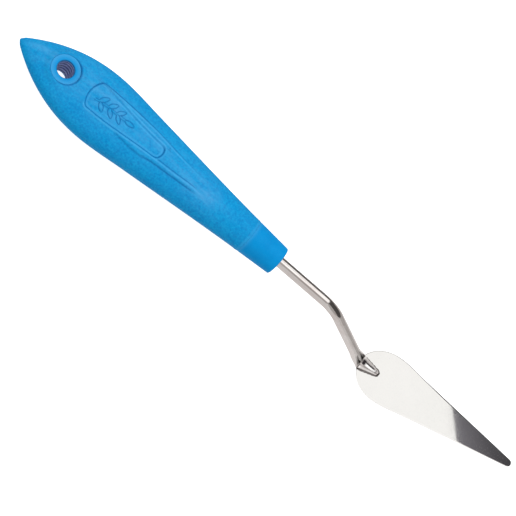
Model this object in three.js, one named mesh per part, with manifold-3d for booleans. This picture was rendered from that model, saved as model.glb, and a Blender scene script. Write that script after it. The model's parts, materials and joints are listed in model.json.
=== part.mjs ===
// A painting knife: a two-shot plastic handle on a cranked steel shank with a welded trowel blade.
// Millimetres. The pieces are drawn along the handle's axis: x runs from the tail towards the blade,
// y across the broad faces, z out of the upper broad face. The finished group then lies on its table.
import * as THREE from "three";
import { mergeVertices } from "three/addons/utils/BufferGeometryUtils.js";
import Module from "manifold-3d";

const wasm = await Module();
wasm.setup();

// Handle. Each outline row is [x, half size, slope], joined by cubics.
const HANDLE_LENGTH = 120;
const SEAM_X = 106; // the soft skin ends here and the bare collar of the core begins
const SEAM_RADIUS = 6.67;
const NOSE_RADIUS = 5.64;
const COLLAR_SLOPE = (NOSE_RADIUS - SEAM_RADIUS) / (HANDLE_LENGTH - SEAM_X);
const HALF_WIDTH = [
  [0, 0.8, 0.78],
  [36, 13.8, 0],
  [56, 11.9, -0.108],
  [SEAM_X, SEAM_RADIUS, -0.089],
];
const HALF_THICKNESS = [
  [0, 0.8, 0.44],
  [19, 5.5, 0.13],
  [45, 7.1, 0.015],
  [SEAM_X, SEAM_RADIUS, -0.03],
];
const TAIL_ROUNDING = 1.6; // the tail closes as a quarter ellipse over this length
const SQUARENESS = [
  [0, 2.2, 0.01],
  [30, 2.45, 0],
  [SEAM_X, 2, 0],
]; // superellipse exponent of the section: 2 is an ellipse
const SKIN = 1.8;
const CORE_TAIL_X = 9;
const NOSE_ROUNDING = 0.9;
const NOSE_DOME = 0.35;

// Hanging eye: a flat-faced boss of the core that comes through the skin on both broad faces.
const EYE_X = 18.7;
const EYE_RADIUS = 5.6;
const EYE_HALF_HEIGHT = 5.2;
const BORE_RADIUS = 3.25;
const BORE_ROUNDING = 0.4;

// Recessed panel on the upper broad face.
const PANEL_REAR_X = 31;
const PANEL_FRONT_X = 63;
const PANEL_REAR_RADIUS = 5;
const PANEL_FRONT_RADIUS = 2.4;
const PANEL_FLOOR_Z = 6.75;

// Shank: one round rod. Its tang end is flattened, it is cranked once, and its other end is pressed
// into a tongue that lies on the blade.
const ROD_RADIUS = 2.05;
const ROD_Z = 0.5; // the tang lies this far above the handle's axis
const TANG_X = 70;
const SPADE_LENGTH = 8;
const SPADE_HALF_WIDTH = 3;
const SPADE_HALF_THICKNESS = 1.2;
const CRANK_X = 146.4;
const CRANK_RADIUS = 15;
const JOINT_X = 169.4; // where the rod's axis meets the blade's upper face
const JOINT_Z = -17;
const NECK_LENGTH = 4.5; // the rod goes from round to flattened over this length
const ROOT_HALF_WIDTH = 2.9;
const ROOT_HALF_THICKNESS = 0.9;
const ROOT_RADIUS = 1;
const TONGUE_END = 8.6;
const TONGUE_TIP_RADIUS = 1.25;
const TONGUE_TIP_HALF_THICKNESS = 0.45;

// Blade: flat spring-steel sheet, its outline measured from the joint along its own slope.
const BLADE_SLOPE = THREE.MathUtils.degToRad(13.2);
const BLADE_THICKNESS = 0.5;
const BLADE_HEEL = 0.1;
const BLADE_END = 67.1;
const BLADE_WIDEST = 12;
const BLADE_HALF_WIDTH = 10.45;
const TAPER_START = 25;
const TAPER_HALF_WIDTH = 8.5;
const BLADE_TIP_RADIUS = 1.6;

const FILLET = 0.45; // leg of the weld around the tongue
const GAP = 0.05; // bond line between pieces that touch
const LYING_TILT = THREE.MathUtils.degToRad(4.46); // the belly and the blade's heel then touch the table

const RING_SIDES = 40;
const ROUND_SIDES = 48;
const ROD_SIDES = 20;

// ---------- solids ----------

function toSolid(geometry) {
  const bare = geometry.clone();
  bare.deleteAttribute("normal");
  bare.deleteAttribute("uv");
  const merged = mergeVertices(bare, 1e-4);
  return new wasm.Manifold(
    new wasm.Mesh({
      numProp: 3,
      vertProperties: merged.attributes.position.array,
      triVerts: new Uint32Array(merged.index.array),
    }),
  );
}

function toGeometry(solid) {
  const mesh = solid.getMesh();
  const geometry = new THREE.BufferGeometry();
  geometry.setAttribute("position", new THREE.BufferAttribute(mesh.vertProperties, 3));
  geometry.setIndex(new THREE.BufferAttribute(mesh.triVerts, 1));
  geometry.computeVertexNormals();
  return geometry;
}

function piece(name, solid, color, roughness, metalness) {
  const material = new THREE.MeshStandardMaterial({ color, roughness, metalness });
  const mesh = new THREE.Mesh(toGeometry(solid), material);
  mesh.name = name;
  return mesh;
}

// A closed skin over rings of points that run the same way round, with a pole at each end.
function loft(rings, firstPole, lastPole) {
  const sides = rings[0].length;
  const points = [...rings.flat(), firstPole, lastPole];
  const index = [];
  const first = points.length - 2;
  const last = points.length - 1;
  const base = (rings.length - 1) * sides;
  for (let j = 0; j < sides; j++) {
    const k = (j + 1) % sides;
    for (let i = 0; i + 1 < rings.length; i++) {
      const a = i * sides;
      const b = a + sides;
      index.push(a + j, a + k, b + k, a + j, b + k, b + j);
    }
    index.push(first, k, j, last, base + j, base + k);
  }
  const geometry = new THREE.BufferGeometry();
  geometry.setAttribute("position", new THREE.Float32BufferAttribute(points.flatMap((p) => p.toArray()), 3));
  geometry.setIndex(index);
  return geometry;
}

// ---------- handle ----------

// The value at x of a curve through [x, value, slope] rows.
function along(rows, x) {
  const i = Math.max(0, Math.min(rows.length - 2, rows.findLastIndex((row) => row[0] <= x)));
  const [x0, v0, s0] = rows[i];
  const [x1, v1, s1] = rows[i + 1];
  const h = x1 - x0;
  const t = Math.min(1, Math.max(0, (x - x0) / h));
  const [t2, t3] = [t * t, t * t * t];
  return (2 * t3 - 3 * t2 + 1) * v0 + (t3 - 2 * t2 + t) * s0 * h + (3 * t2 - 2 * t3) * v1 + (t3 - t2) * s1 * h;
}

function tailCap(x) {
  return x < TAIL_ROUNDING ? Math.sqrt(1 - (1 - x / TAIL_ROUNDING) ** 2) : 1;
}

// One section of the handle at x, drawn in by inset all round.
function section(x, inset, placeX = x) {
  const halfWidth = along(HALF_WIDTH, x) * tailCap(x) - inset;
  const halfThickness = along(HALF_THICKNESS, x) * tailCap(x) - inset;
  const power = 2 / along(SQUARENESS, x);
  return Array.from({ length: RING_SIDES }, (_, j) => {
    const angle = (2 * Math.PI * j) / RING_SIDES;
    const y = Math.sign(Math.cos(angle)) * Math.abs(Math.cos(angle)) ** power;
    const z = Math.sign(Math.sin(angle)) * Math.abs(Math.sin(angle)) ** power;
    return new THREE.Vector3(placeX, halfWidth * y, halfThickness * z);
  });
}

function handleBody(fromX, toX, inset, count, overrun = 0) {
  const rings = [];
  for (let i = 0; i <= count; i++) {
    const x = fromX + (toX - fromX) * (i / count) ** 1.35; // closer rings where the tail curves most
    rings.push(section(x, inset));
  }
  if (overrun) rings.push(section(toX, inset, toX + overrun));
  const firstPole = new THREE.Vector3(fromX, 0, 0);
  const lastPole = new THREE.Vector3(toX + overrun, 0, 0);
  return toSolid(loft(rings, firstPole, lastPole));
}

// A solid of revolution about the handle's axis, from [x, radius] pairs that end on the axis.
function turnedAlongX(profile) {
  const points = profile.map(([x, radius]) => new THREE.Vector2(radius, x));
  return toSolid(new THREE.LatheGeometry(points, RING_SIDES).rotateZ(-Math.PI / 2));
}

// A solid of revolution about the hanging eye's axis, from [z, radius] pairs.
function turnedAtEye(profile) {
  const points = profile.map(([z, radius]) => new THREE.Vector2(radius, z));
  return toSolid(new THREE.LatheGeometry(points, ROUND_SIDES).rotateX(Math.PI / 2).translate(EYE_X, 0, 0));
}

function quarterArc(centerA, centerB, radiusA, radiusB, fromAngle, toAngle, steps) {
  return Array.from({ length: steps + 1 }, (_, i) => {
    const angle = fromAngle + ((toAngle - fromAngle) * i) / steps;
    return [centerA + radiusA * Math.cos(angle), centerB + radiusB * Math.sin(angle)];
  });
}

function collar() {
  const shoulderX = HANDLE_LENGTH - NOSE_ROUNDING;
  const shoulderRadius = NOSE_RADIUS - COLLAR_SLOPE * NOSE_ROUNDING;
  const flatRadius = shoulderRadius - NOSE_ROUNDING;
  return turnedAlongX([
    [SEAM_X, 0],
    [SEAM_X, SEAM_RADIUS],
    ...quarterArc(shoulderX, flatRadius, NOSE_ROUNDING, NOSE_ROUNDING, Math.PI / 2, 0, 5),
    [HANDLE_LENGTH + NOSE_DOME * 0.75, flatRadius / 2],
    [HANDLE_LENGTH + NOSE_DOME, 0],
  ]);
}

function eyeBoss(grow) {
  const height = EYE_HALF_HEIGHT + (grow ? EYE_RADIUS : 0);
  return turnedAtEye([
    [-height, 0],
    [-height, EYE_RADIUS + grow],
    [height, EYE_RADIUS + grow],
    [height, 0],
  ]);
}

function eyeBore() {
  const beyond = EYE_HALF_HEIGHT + SKIN;
  const mouth = BORE_RADIUS + BORE_ROUNDING;
  const lip = EYE_HALF_HEIGHT - BORE_ROUNDING;
  const lower = quarterArc(-lip, mouth, BORE_ROUNDING, BORE_ROUNDING, Math.PI, 1.5 * Math.PI, 4);
  const upper = quarterArc(lip, mouth, BORE_ROUNDING, BORE_ROUNDING, 1.5 * Math.PI, 2 * Math.PI, 4);
  return turnedAtEye([[-beyond, 0], [-beyond, mouth], ...lower, ...upper, [beyond, mouth], [beyond, 0]]);
}

function panelRecess() {
  const rearX = PANEL_REAR_X + PANEL_REAR_RADIUS;
  const frontX = PANEL_FRONT_X - PANEL_FRONT_RADIUS;
  const lean = Math.asin((PANEL_REAR_RADIUS - PANEL_FRONT_RADIUS) / (frontX - rearX));
  const turn = Math.PI / 2 - lean;
  const outline = new THREE.Shape();
  outline.absarc(rearX, 0, PANEL_REAR_RADIUS, turn, -turn, false);
  outline.absarc(frontX, 0, PANEL_FRONT_RADIUS, -turn, turn, false);
  const options = { depth: SKIN, bevelEnabled: false, curveSegments: 12 };
  return toSolid(new THREE.ExtrudeGeometry(outline, options).translate(0, 0, PANEL_FLOOR_Z));
}

// ---------- shank ----------

// A place on the shank's centre line. turn is the line's slope, and a section there is a
// superellipse with the given half sizes, and with exponents of its own above and below the middle.
function station(x, z, turn, halfWidth, halfThickness, powerAbove, powerBelow) {
  return { x, z, turn, halfWidth, halfThickness, powerAbove, powerBelow };
}

function stationRing({ x, z, turn, halfWidth, halfThickness, powerAbove, powerBelow }, grow) {
  return Array.from({ length: ROD_SIDES }, (_, j) => {
    const angle = (2 * Math.PI * j) / ROD_SIDES;
    const power = 2 * j < ROD_SIDES ? powerAbove : powerBelow;
    const across = Math.sign(Math.cos(angle)) * Math.abs(Math.cos(angle)) ** (2 / power);
    const up = Math.sign(Math.sin(angle)) * Math.abs(Math.sin(angle)) ** (2 / power);
    const lift = (halfThickness + grow) * up;
    return new THREE.Vector3(x - lift * Math.sin(turn), (halfWidth + grow) * across, z + lift * Math.cos(turn));
  });
}

function mix(a, b, t) {
  return a + (b - a) * t;
}

function smooth(t) {
  return t * t * (3 - 2 * t);
}

// Half width, half thickness, and the exponents above and below.
const round = [ROD_RADIUS, ROD_RADIUS, 2, 2];
const spade = [SPADE_HALF_WIDTH, SPADE_HALF_THICKNESS, 4, 4];
const root = [ROOT_HALF_WIDTH, ROOT_HALF_THICKNESS, 3, 8];
const tip = [TONGUE_TIP_RADIUS, TONGUE_TIP_HALF_THICKNESS, 3, 8];

function mixed(from, to, t) {
  return from.map((value, i) => mix(value, to[i], smooth(t)));
}

function tangStations() {
  const spadeEnd = TANG_X + SPADE_LENGTH;
  const places = [station(TANG_X, ROD_Z, 0, ...spade)];
  for (let i = 0; i <= 3; i++) places.push(station(spadeEnd + i, ROD_Z, 0, ...mixed(spade, round, i / 3)));
  return places;
}

const crankSlope = Math.atan2(JOINT_Z - ROD_Z, JOINT_X - CRANK_X);

function crankStations() {
  const straight = CRANK_X - CRANK_RADIUS * Math.tan(-crankSlope / 2);
  return Array.from({ length: 9 }, (_, i) => {
    const turn = (crankSlope * i) / 8;
    const x = straight - CRANK_RADIUS * Math.sin(turn);
    return station(x, ROD_Z - CRANK_RADIUS * (1 - Math.cos(turn)), turn, ...round);
  });
}

// The neck flattens from below, so that its upper side runs straight on to the root, where the line
// turns onto the blade.
function neckAndTongueStations() {
  const lift = ROD_RADIUS - ROOT_HALF_THICKNESS;
  const height = ROOT_HALF_THICKNESS + GAP;
  const corner = BLADE_SLOPE - crankSlope;
  const cornerAlong = lift / Math.sin(corner) - height / Math.tan(corner);
  const onBladeFrame = (reach, up, turn, size) => {
    const x = JOINT_X + reach * Math.cos(BLADE_SLOPE) - up * Math.sin(BLADE_SLOPE);
    const z = JOINT_Z + reach * Math.sin(BLADE_SLOPE) + up * Math.cos(BLADE_SLOPE);
    return station(x, z, turn, ...size);
  };
  const places = [];
  const tangent = ROOT_RADIUS * Math.tan(corner / 2);
  for (let i = 0; i <= 4; i++) {
    const back = tangent + NECK_LENGTH * (1 - i / 4);
    const up = height + back * Math.sin(corner) - lift * (1 - smooth(i / 4)) * Math.cos(corner);
    const reach = cornerAlong - back * Math.cos(corner) - lift * (1 - smooth(i / 4)) * Math.sin(corner);
    places.push(onBladeFrame(reach, up, crankSlope, mixed(round, root, i / 4)));
  }
  const bendEnd = cornerAlong + tangent;
  for (let i = 1; i <= 4; i++) {
    const left = corner * (1 - i / 4);
    const reach = bendEnd - ROOT_RADIUS * Math.sin(left);
    places.push(onBladeFrame(reach, height + ROOT_RADIUS * (1 - Math.cos(left)), BLADE_SLOPE - left, root));
  }
  const tipStart = TONGUE_END - TONGUE_TIP_RADIUS;
  for (let i = 1; i <= 3; i++) {
    const size = root.map((value, k) => mix(value, tip[k], i / 3));
    places.push(onBladeFrame(mix(bendEnd, tipStart, i / 3), size[1] + GAP, BLADE_SLOPE, size));
  }
  for (let i = 1; i <= 3; i++) {
    const angle = (Math.PI / 2) * (i / 3.3);
    const size = [tip[0] * Math.cos(angle), ...tip.slice(1)];
    places.push(onBladeFrame(tipStart + TONGUE_TIP_RADIUS * Math.sin(angle), tip[1] + GAP, BLADE_SLOPE, size));
  }
  return places;
}

function shankSolid(grow) {
  const places = [...tangStations(), ...crankStations(), ...neckAndTongueStations()];
  const first = places[0];
  const last = places.at(-1);
  first.x -= grow;
  const firstPole = new THREE.Vector3(first.x, 0, first.z);
  const lastPole = new THREE.Vector3(last.x, 0, last.z);
  return toSolid(loft(places.map((place) => stationRing(place, grow)), firstPole, lastPole));
}

// ---------- blade and weld ----------

// From the blade's own frame (x along the blade from the joint, z out of its upper face).
function onBlade(geometry) {
  return geometry.rotateY(-BLADE_SLOPE).translate(JOINT_X, 0, JOINT_Z);
}

function bladeShape() {
  const tipX = BLADE_END - BLADE_TIP_RADIUS;
  const taper = Math.asin((TAPER_HALF_WIDTH - BLADE_TIP_RADIUS) / (tipX - TAPER_START));
  const pull = 5; // reach of the shoulder curve's handles
  const outline = new THREE.Shape();
  outline.absellipse(BLADE_WIDEST, 0, BLADE_WIDEST - BLADE_HEEL, BLADE_HALF_WIDTH, Math.PI / 2, 1.5 * Math.PI);
  const pullX = TAPER_START - pull;
  const pullY = TAPER_HALF_WIDTH + pull * Math.tan(taper);
  const roundX = BLADE_WIDEST + pull;
  outline.bezierCurveTo(roundX, -BLADE_HALF_WIDTH, pullX, -pullY, TAPER_START, -TAPER_HALF_WIDTH);
  outline.absarc(tipX, 0, BLADE_TIP_RADIUS, taper - Math.PI / 2, Math.PI / 2 - taper);
  outline.lineTo(TAPER_START, TAPER_HALF_WIDTH);
  outline.bezierCurveTo(pullX, pullY, roundX, BLADE_HALF_WIDTH, BLADE_WIDEST, BLADE_HALF_WIDTH);
  return outline;
}

function bladeSolid() {
  const options = { depth: BLADE_THICKNESS, bevelEnabled: false, curveSegments: 16 };
  return toSolid(onBlade(new THREE.ExtrudeGeometry(bladeShape(), options).translate(0, 0, -BLADE_THICKNESS)));
}

// A bevelled pad under the tongue's outline, less the tongue itself, leaves the fillet round it.
function weldSolid() {
  const tipX = TONGUE_END - TONGUE_TIP_RADIUS;
  const rootX = 1.2;
  const width = ROOT_HALF_WIDTH - 0.25;
  const lean = Math.atan((width - TONGUE_TIP_RADIUS) / (tipX - rootX));
  const outline = new THREE.Shape();
  outline.absarc(tipX, 0, TONGUE_TIP_RADIUS, lean - Math.PI / 2, Math.PI / 2 - lean);
  outline.lineTo(rootX, width);
  outline.lineTo(rootX, -width);
  const options = { depth: 0.01, bevelThickness: FILLET, bevelSize: FILLET, bevelSegments: 2, curveSegments: 8 };
  const pad = toSolid(onBlade(new THREE.ExtrudeGeometry(outline, options)));
  const block = 40;
  const under = toSolid(onBlade(new THREE.BoxGeometry(block, block, block).translate(0, 0, GAP - block / 2)));
  return pad.subtract(under).subtract(shankSolid(GAP));
}

// ---------- assembly ----------

const bore = eyeBore();
const tang = shankSolid(GAP);
const core = handleBody(CORE_TAIL_X, SEAM_X, SKIN, 18).add(collar()).add(eyeBoss(0)).subtract(bore).subtract(tang);
const cavity = handleBody(CORE_TAIL_X - GAP, SEAM_X - GAP, SKIN - GAP, 18, 2 * GAP);
const sleeve = handleBody(0, SEAM_X - GAP, 0, 36).subtract(cavity).subtract(eyeBoss(GAP)).subtract(panelRecess());

const knife = new THREE.Group();
knife.add(piece("grip_sleeve", sleeve, 0x2f9bdc, 0.62, 0));
knife.add(piece("handle_core", core, 0x0e8ed8, 0.4, 0));
knife.add(piece("shank", shankSolid(0), 0xc9c5c1, 0.16, 1));
knife.add(piece("blade", bladeSolid(), 0xe4e3df, 0.1, 1));
knife.add(piece("weld_fillet", weldSolid(), 0x9a938c, 0.35, 1));
knife.rotation.y = -LYING_TILT;

// The part's origin is on the table, under the middle of the lying knife.
const box = new THREE.Box3().setFromObject(knife, true);
const middle = box.getCenter(new THREE.Vector3());
knife.position.set(-middle.x, -middle.y, -box.min.z);

const part = new THREE.Group();
part.add(knife);

export default part;
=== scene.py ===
"""A painting knife lying on a pale table: its detailed shapes, finishes, light and camera.

Shapes are drawn in millimetres in the handle's own frame, the one the CAD part is drawn in: x runs
along the handle from its tail towards the blade, y across the broad faces and z out of the upper
broad face. to_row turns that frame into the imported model's, from the hanging hole's mount.
"""

import json
import math

import bpy
import numpy as np
from mathutils import Matrix, Vector


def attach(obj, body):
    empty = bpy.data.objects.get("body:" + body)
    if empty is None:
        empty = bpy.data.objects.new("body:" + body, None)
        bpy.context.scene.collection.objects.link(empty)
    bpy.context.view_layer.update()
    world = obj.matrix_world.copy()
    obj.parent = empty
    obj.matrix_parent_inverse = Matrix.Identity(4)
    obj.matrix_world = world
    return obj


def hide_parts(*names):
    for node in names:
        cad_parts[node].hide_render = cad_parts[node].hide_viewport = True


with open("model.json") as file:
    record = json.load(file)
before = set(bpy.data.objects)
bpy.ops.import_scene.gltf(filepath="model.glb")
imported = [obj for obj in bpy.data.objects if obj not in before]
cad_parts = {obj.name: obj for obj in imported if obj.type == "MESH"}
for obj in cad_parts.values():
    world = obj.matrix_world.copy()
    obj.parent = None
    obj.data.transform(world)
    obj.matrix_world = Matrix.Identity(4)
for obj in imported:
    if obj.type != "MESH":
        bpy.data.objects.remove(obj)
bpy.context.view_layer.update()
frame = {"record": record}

# ---------- sizes, in millimetres ----------

# Handle: rows of (x, value, slope), joined by cubics. SQUARENESS is the section's exponent.
HANDLE_LENGTH = 120
SEAM_X = 106
SEAM_RADIUS = 6.67
NOSE_RADIUS = 5.64
COLLAR_SLOPE = (NOSE_RADIUS - SEAM_RADIUS) / (HANDLE_LENGTH - SEAM_X)
HALF_WIDTH = [(0, 0.8, 0.78), (36, 13.8, 0), (56, 11.9, -0.108), (SEAM_X, SEAM_RADIUS, -0.089)]
HALF_THICKNESS = [(0, 0.8, 0.44), (19, 5.5, 0.13), (45, 7.1, 0.015), (SEAM_X, SEAM_RADIUS, -0.03)]
SQUARENESS = [(0, 2.2, 0.01), (30, 2.45, 0), (SEAM_X, 2, 0)]
TAIL_ROUNDING = 1.6
NOSE_ROUNDING = 0.5
NOSE_DOME = 0.35

EYE_X = 18.7
EYE_RADIUS = 5.6
EYE_HALF_HEIGHT = 5.2
BORE_RADIUS = 3.25
BORE_ROUNDING = 0.4
BORE_RINGS = [-3.7, -1.8, 0.1, 2.0, 3.6]
# The stretch of the skin's grid round the eye that gives way to rings: half its length and width.
PATCH_REACH = 8.2
PATCH_HALF_WIDTH = 7.9

# Relief of the upper broad face: lines of (x, y), each drawn as one smooth curve.
CREST = [(31, 4.9), (40, 4.8), (50, 4.4), (60, 3.6), (66, 2.7), (74, 1.9), (84, 1.1)]
PANEL_UPPER = [(31, 4.9), (38, 3.9), (48, 2.3), (56, 1.4), (64, 0.9)]
PANEL_LOWER = [(30, -6.4), (40, -6.3), (48, -5.6), (55, -4.9), (63, -4.3)]
PANEL_LOWER += [(70, -3.9), (77, -3.3), (84, -3.0)]
SPINE_OUTER = [(44, -7.0), (51, -7.5), (56, -7.5), (61, -6.5), (69, -5.75), (77, -5.0), (84, -4.4)]
# The panel's bowed ends: x and y of each one's middle, and its bend over y squared.
PANEL_REAR = (29.85, -0.8, 0.053)
PANEL_FRONT = (63.1, -1.5, 0.1)
PANEL_DEPTH = 0.5
SPINE_HEIGHT = 0.32
CREASE_DEPTH = 0.16
# A plain leaf sprig: its stem, and (x along the stem, angle in degrees, length) of each leaf.
SPRIG_STEM = [(32, -2.0), (37, -1.3), (43, -1.2), (50, -0.8)]
SPRIG_LEAVES = [(34.4, 52, 4.3), (34.9, -50, 4.0), (38.2, 50, 4.2), (38.7, -48, 4.0)]
SPRIG_LEAVES += [(41.9, 47, 3.9), (42.3, -45, 3.7), (45.6, 3, 4.2)]
LEAF_SHARE = 0.2

# The skin's open front end, and the pocket that closes it inside the collar.
LIP_SCALE = 0.965
POCKET_SCALE = 0.78
POCKET_DEPTH = 2.05
POCKET_FLOOR = 2.1

# Shank
ROD_RADIUS = 2.05
ROD_Z = 0.5
TANG_X = 70
SPADE_LENGTH = 8
SPADE_HALF_WIDTH = 3
SPADE_HALF_THICKNESS = 1.2
CRANK_X = 146.4
CRANK_RADIUS = 15
JOINT_X = 169.4
JOINT_Z = -17
NECK_LENGTH = 4.5
ROOT_HALF_WIDTH = 2.9
ROOT_HALF_THICKNESS = 0.9
ROOT_RADIUS = 1
TONGUE_END = 8.6
TONGUE_OFFSET = -0.45
TONGUE_TIP_RADIUS = 1.25
TONGUE_TIP_HALF_THICKNESS = 0.45

# Blade, along its own slope from the joint
BLADE_SLOPE = math.radians(13.2)
BLADE_THICKNESS = 0.5
BLADE_HEEL = 0.1
BLADE_END = 67.1
BLADE_WIDEST = 12
BLADE_HALF_WIDTH = 10.45
TAPER_START = 25
TAPER_HALF_WIDTH = 8.5
BLADE_TIP_RADIUS = 1.6
# Width of the ground bevel: rows of (x, width, slope).
EDGE_BEVEL = [(0, 0.22, 0), (20, 0.26, 0.01), (34, 0.5, 0.01)]
EDGE_BEVEL += [(43, 0.5, 0), (50, 0.2, -0.01), (BLADE_END, 0.15, 0)]
BEVEL_ANGLE = math.radians(15.5)

FILLET = 0.45
GAP = 0.05

# ---------- the handle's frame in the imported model's ----------

hole = next(mount for mount in frame["record"]["mounts"] if mount["name"] == "hanging_hole")
LYING_TILT = math.atan2(-hole["axis"][0], hole["axis"][2])
turn_to_row = Matrix.Rotation(-LYING_TILT, 4, "Y") @ Matrix.Scale(0.001, 4)
to_row = Matrix.Translation(Vector(hole["pos_m"]) - turn_to_row @ Vector((EYE_X, 0, 0))) @ turn_to_row
blade_to_handle = Matrix.Translation((JOINT_X, 0, JOINT_Z)) @ Matrix.Rotation(-BLADE_SLOPE, 4, "Y")

# ---------- small helpers ----------


def along(rows, x):
    """The value at x of the curve through (x, value, slope) rows."""
    knots, values, slopes = np.array(rows, float).T
    x = np.clip(np.asarray(x, float), knots[0], knots[-1])
    i = np.clip(np.searchsorted(knots, x, side="right") - 1, 0, len(knots) - 2)
    span = knots[i + 1] - knots[i]
    t = (x - knots[i]) / span
    start = (2 * t**3 - 3 * t**2 + 1) * values[i] + (t**3 - 2 * t**2 + t) * slopes[i] * span
    return start + (3 * t**2 - 2 * t**3) * values[i + 1] + (t**3 - t**2) * slopes[i + 1] * span


def curve(points, x):
    """The value at x of a smooth curve through (x, value) points."""
    knots, values = np.array(points, float).T
    slopes = np.gradient(values, knots)
    return along(list(zip(knots, values, slopes)), x)


def mix(a, b, t):
    return a + (b - a) * t


def smooth(t):
    t = np.clip(t, 0, 1)
    return t * t * (3 - 2 * t)


def between(x, start, rise, end, fall):
    """0 before start and past end, and 1 between them, past a smooth rise and before a smooth fall."""
    return smooth((x - start) / rise) * smooth((end - x) / fall)


def ridge(distance, width):
    return np.exp(-((distance / width) ** 2))


def grid_faces(rows, columns, skip=None):
    """Quads between closed rows of columns points each, numbered row by row."""
    faces = []
    for i in range(rows - 1):
        for j in range(columns):
            if skip and skip(i, j):
                continue
            k = (j + 1) % columns
            row, ahead = i * columns, (i + 1) * columns
            faces.append((row + j, row + k, ahead + k, ahead + j))
    return faces


def make_piece(name, points, faces, nodes, material, to_handle=None, sharp=None, flat=()):
    """A piece on the root body from points in the handle's frame, or in one that to_handle turns into
    it. Edges sharper than sharp degrees stay crisp, and so do the faces numbered in flat."""
    mesh = bpy.data.meshes.new(name)
    mesh.from_pydata([tuple(p) for p in points], [], faces)
    mesh.transform(to_row @ to_handle if to_handle else to_row)
    mesh.polygons.foreach_set("use_smooth", [i not in flat for i in range(len(mesh.polygons))])
    if sharp:
        mesh.set_sharp_from_angle(angle=math.radians(sharp))
    mesh.materials.append(material)
    piece = bpy.data.objects.new(name, mesh)
    bpy.context.scene.collection.objects.link(piece)
    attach(piece, "root")
    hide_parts(*nodes)
    return piece


def add_attributes(piece, **attributes):
    """Adds to a piece attributes that its material reads, each a list of one number for each point."""
    for name, values in attributes.items():
        attribute = piece.data.attributes.new(name, "FLOAT", "POINT")
        attribute.data.foreach_set("value", np.asarray(values, np.float32))


def turned(profile, sides):
    """Points and faces of a body turned about the x axis, from (x, radius) pairs that end on it."""
    angles = np.linspace(0, 2 * math.pi, sides, endpoint=False)
    points = [(x, r * math.cos(a), r * math.sin(a)) for x, r in profile[1:-1] for a in angles]
    faces = grid_faces(len(profile) - 2, sides)
    base = len(points) - sides
    first, last = len(points), len(points) + 1
    points += [(profile[0][0], 0, 0), (profile[-1][0], 0, 0)]
    for j in range(sides):
        k = (j + 1) % sides
        faces += [(first, k, j), (last, base + j, base + k)]
    return points, faces


def arc(center_a, center_b, radius, start, end, steps):
    """Points of a round corner in a profile, from one angle to another."""
    angles = np.linspace(start, end, steps + 1)
    return [(center_a + radius * math.cos(a), center_b + radius * math.sin(a)) for a in angles]


# ---------- material nodes ----------


def set_inputs(node, **values):
    """Sets a node's inputs. Each is named with _ in place of a space."""
    for socket, value in values.items():
        node.inputs[socket.replace("_", " ")].default_value = value


class Paint:
    """A Principled material and short ways to add its nodes."""

    def __init__(self, name, **values):
        self.material = bpy.data.materials.new(name)
        self.material.use_nodes = True
        self.tree = self.material.node_tree
        self.shader = self.tree.nodes["Principled BSDF"]
        set_inputs(self.shader, **values)
        place = self.add("ShaderNodeTexCoord").outputs["Object"]
        mapping = self.add("ShaderNodeMapping")
        set_inputs(mapping, Rotation=(0, LYING_TILT, 0), Scale=(1000, 1000, 1000))
        self.link(place, mapping.inputs["Vector"])
        self.place = mapping.outputs["Vector"]

    def add(self, kind, **settings):
        node = self.tree.nodes.new(kind)
        for key, value in settings.items():
            setattr(node, key, value)
        return node

    def link(self, output, target):
        self.tree.links.new(output, target)

    def noise(self, size, detail=3.0, roughness=0.5, stretch=(1, 1, 1), distortion=0.0):
        """Noise from 0 to 1 with features of about size millimetres."""
        mapping = self.add("ShaderNodeMapping")
        set_inputs(mapping, Scale=tuple(1 / (size * s) for s in stretch))
        self.link(self.place, mapping.inputs["Vector"])
        node = self.add("ShaderNodeTexNoise")
        set_inputs(node, Scale=1, Detail=detail, Roughness=roughness, Distortion=distortion)
        self.link(mapping.outputs["Vector"], node.inputs["Vector"])
        return node.outputs["Fac"]

    def attribute(self, name):
        return self.add("ShaderNodeAttribute", attribute_name=name).outputs["Fac"]

    def spread(self, value, low, high, to_low=0.0, to_high=1.0):
        """value, stretched so that low becomes to_low and high becomes to_high."""
        node = self.add("ShaderNodeMapRange", clamp=True)
        set_inputs(node, From_Min=low, From_Max=high, To_Min=to_low, To_Max=to_high)
        self.link(value, node.inputs["Value"])
        return node.outputs["Result"]

    def operate(self, operation, a, b):
        node = self.add("ShaderNodeMath", operation=operation)
        for socket, value in zip(node.inputs, (a, b)):
            if isinstance(value, (int, float)):
                socket.default_value = value
            else:
                self.link(value, socket)
        return node.outputs[0]

    def plus(self, a, b):
        return self.operate("ADD", a, b)

    def times(self, a, b):
        return self.operate("MULTIPLY", a, b)

    def blend(self, share, a, b):
        """Colour a where share is 0 and b where it is 1. The node's colours are its inputs 6 and 7."""
        node = self.add("ShaderNodeMix", data_type="RGBA")
        self.link(share, node.inputs["Factor"])
        for socket, value in zip(node.inputs[6:8], (a, b)):
            if isinstance(value, tuple):
                socket.default_value = (*value, 1)
            else:
                self.link(value, socket)
        return node.outputs[2]

    def bumps(self, *layers):
        """Bump from (height, strength, depth in millimetres) layers, one over the other."""
        normal = None
        for height, strength, depth in layers:
            node = self.add("ShaderNodeBump")
            set_inputs(node, Strength=strength, Distance=depth * 0.001)
            self.link(height, node.inputs["Height"])
            if normal:
                self.link(normal, node.inputs["Normal"])
            normal = node.outputs["Normal"]
        self.link(normal, self.shader.inputs["Normal"])

    def set(self, socket, output):
        self.link(output, self.shader.inputs[socket])


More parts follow.
